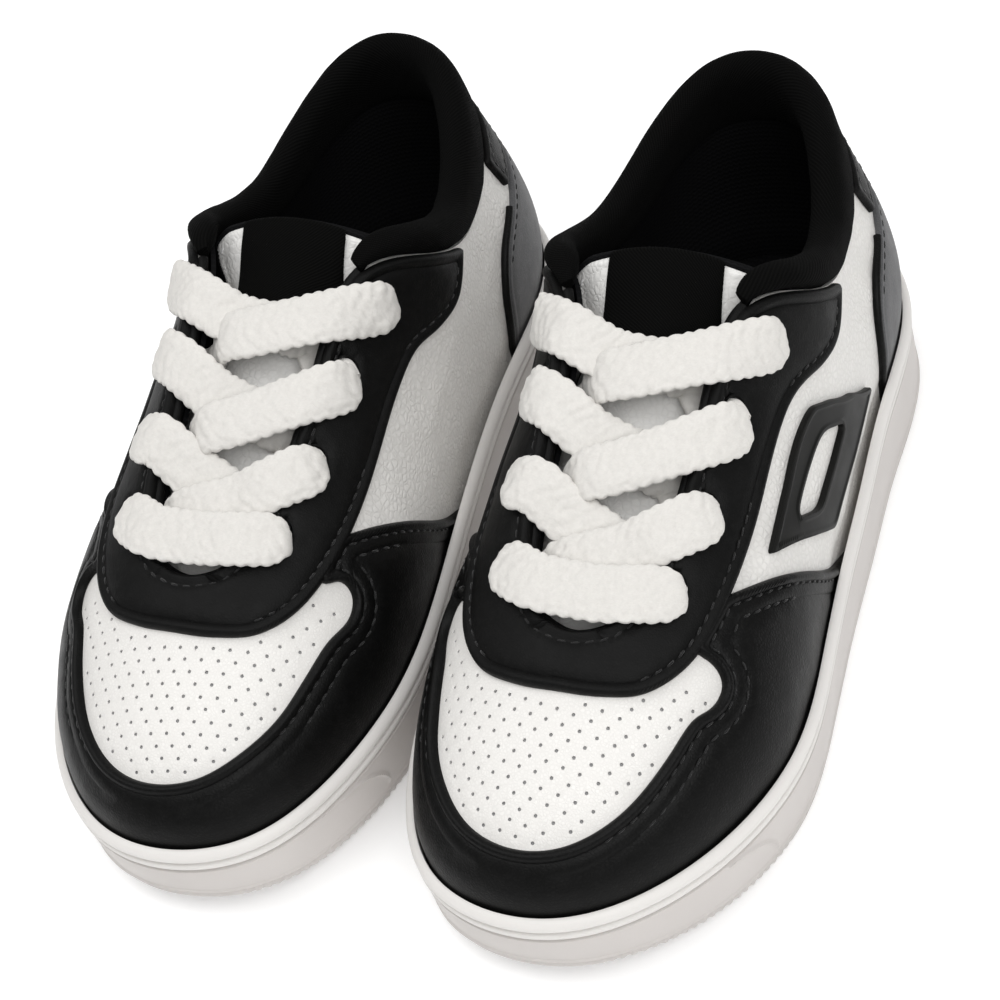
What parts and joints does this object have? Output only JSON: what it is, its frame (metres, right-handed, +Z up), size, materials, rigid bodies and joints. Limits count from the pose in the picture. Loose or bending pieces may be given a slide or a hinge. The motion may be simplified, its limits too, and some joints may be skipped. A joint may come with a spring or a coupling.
{
  "type": "cheer shoes",
  "caption": "Pair of low-top lace-up cheer sneakers with white cupsoles, layered black and white leather uppers, padded collars and hinged tongues.",
  "frame": {"origin": "on the ground, under the middle of the pair's bounding box", "axes": "+Z up, -Y toward the toes, +X toward the wearer's left shoe"},
  "size_m": [0.1666, 0.2054, 0.0873],
  "materials": {
    "sole_rubber": "off-white moulded cupsole, satin",
    "foam": "open-cell foam",
    "board": "fibre board",
    "black_textile": "fine black knit and twill",
    "white_leather": "near-white tumbled grain",
    "black_leather": "smooth satin",
    "gray_leather": "smooth dark gray",
    "black_film": "thin moulded plate",
    "stiffener": "thermoplastic sheet",
    "lace": "flat braid",
    "aglet": "clear film tip"
  },
  "bodies": {
    "left_shoe": {"left_cupsole": "sole_rubber", "left_midsole_foam": "foam", "left_insole_board": "board", "left_sockliner": "black_textile", "left_toe_box": "white_leather", "left_toe_guard": "black_leather", "left_eyestay": "black_leather", "left_heel_counter_cover": "gray_leather", "left_heel_tab": "black_leather", "left_side_badge": "black_film", "left_heel_stiffener": "stiffener", "left_toe_puff": "stiffener", "left_vamp_lining": "black_textile", "left_quarter_lining": "black_textile", "left_collar_padding": "black_textile", "left_lace": "lace", "left_quarter_lateral": "white_leather", "left_piping_lateral": "black_leather", "left_eyelet_tape_lateral": "black_textile", "left_aglet_lateral": "aglet", "left_quarter_medial": "white_leather", "left_piping_medial": "black_leather", "left_eyelet_tape_medial": "black_textile", "left_aglet_medial": "aglet"},
    "left_tongue": {"left_tongue_face": "white_leather", "left_tongue_foam": "foam", "left_tongue_lining": "black_textile", "left_tongue_strap": "black_textile"},
    "right_shoe": {"right_cupsole": "sole_rubber", "right_midsole_foam": "foam", "right_insole_board": "board", "right_sockliner": "black_textile", "right_toe_box": "white_leather", "right_toe_guard": "black_leather", "right_eyestay": "black_leather", "right_heel_counter_cover": "gray_leather", "right_heel_tab": "black_leather", "right_side_badge": "black_film", "right_heel_stiffener": "stiffener", "right_toe_puff": "stiffener", "right_vamp_lining": "black_textile", "right_quarter_lining": "black_textile", "right_collar_padding": "black_textile", "right_lace": "lace", "right_quarter_lateral": "white_leather", "right_piping_lateral": "black_leather", "right_eyelet_tape_lateral": "black_textile", "right_aglet_lateral": "aglet", "right_quarter_medial": "white_leather", "right_piping_medial": "black_leather", "right_eyelet_tape_medial": "black_textile", "right_aglet_medial": "aglet"},
    "right_tongue": {"right_tongue_face": "white_leather", "right_tongue_foam": "foam", "right_tongue_lining": "black_textile", "right_tongue_strap": "black_textile"}
  },
  "joints": [
    {"name": "right_shoe_lift", "type": "slide", "parent": "left_shoe", "child": "right_shoe", "axis": [0, 0, 1], "range_m": [0, 0.2]},
    {"name": "left_tongue_press", "type": "hinge", "parent": "left_shoe", "child": "left_tongue", "pos_m": [0.0424, -0.0558, 0.0475], "axis": [1, 0, 0], "range_deg": [-8, 0], "stiffness_Nm_per_rad": 0.3, "springref_deg": 5.73},
    {"name": "right_tongue_press", "type": "hinge", "parent": "right_shoe", "child": "right_tongue", "pos_m": [-0.0424, -0.0558, 0.0475], "axis": [1, 0, 0], "range_deg": [-8, 0], "stiffness_Nm_per_rad": 0.3, "springref_deg": 5.73}
  ]
}
